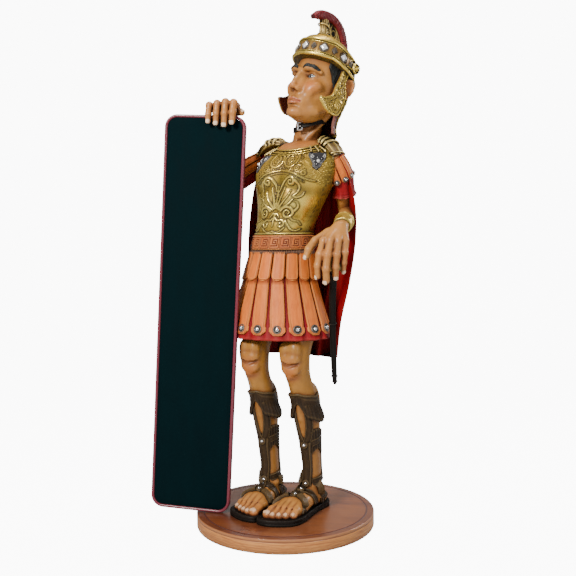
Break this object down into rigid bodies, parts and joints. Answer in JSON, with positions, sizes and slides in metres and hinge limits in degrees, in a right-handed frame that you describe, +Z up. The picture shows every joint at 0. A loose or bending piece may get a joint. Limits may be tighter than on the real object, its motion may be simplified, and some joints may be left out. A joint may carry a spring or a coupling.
{
  "type": "roman soldier statue",
  "caption": "Painted life-size statue of a Roman soldier in helmet, cuirass and cape on a round plinth, one hand holding up a tall menu board.",
  "frame": {"origin": "centre of the round plinth's underside", "axes": "+Z up, -Y the way the menu board's writing face looks; the soldier himself is turned 20 degrees clockwise from it, seen from above"},
  "size_m": [0.8052, 0.648, 1.8237],
  "materials": {
    "painted_casting": "hand-painted resin with a dark antique wash",
    "plinth_wood": "stained and varnished",
    "board_face": "matte blackboard paint",
    "board_rim": "gloss crimson paint"
  },
  "bodies": {
    "root": {"figure": "painted_casting", "plinth": "plinth_wood", "board_panel": "board_face", "board_frame": "board_rim"}
  },
  "joints": []
}
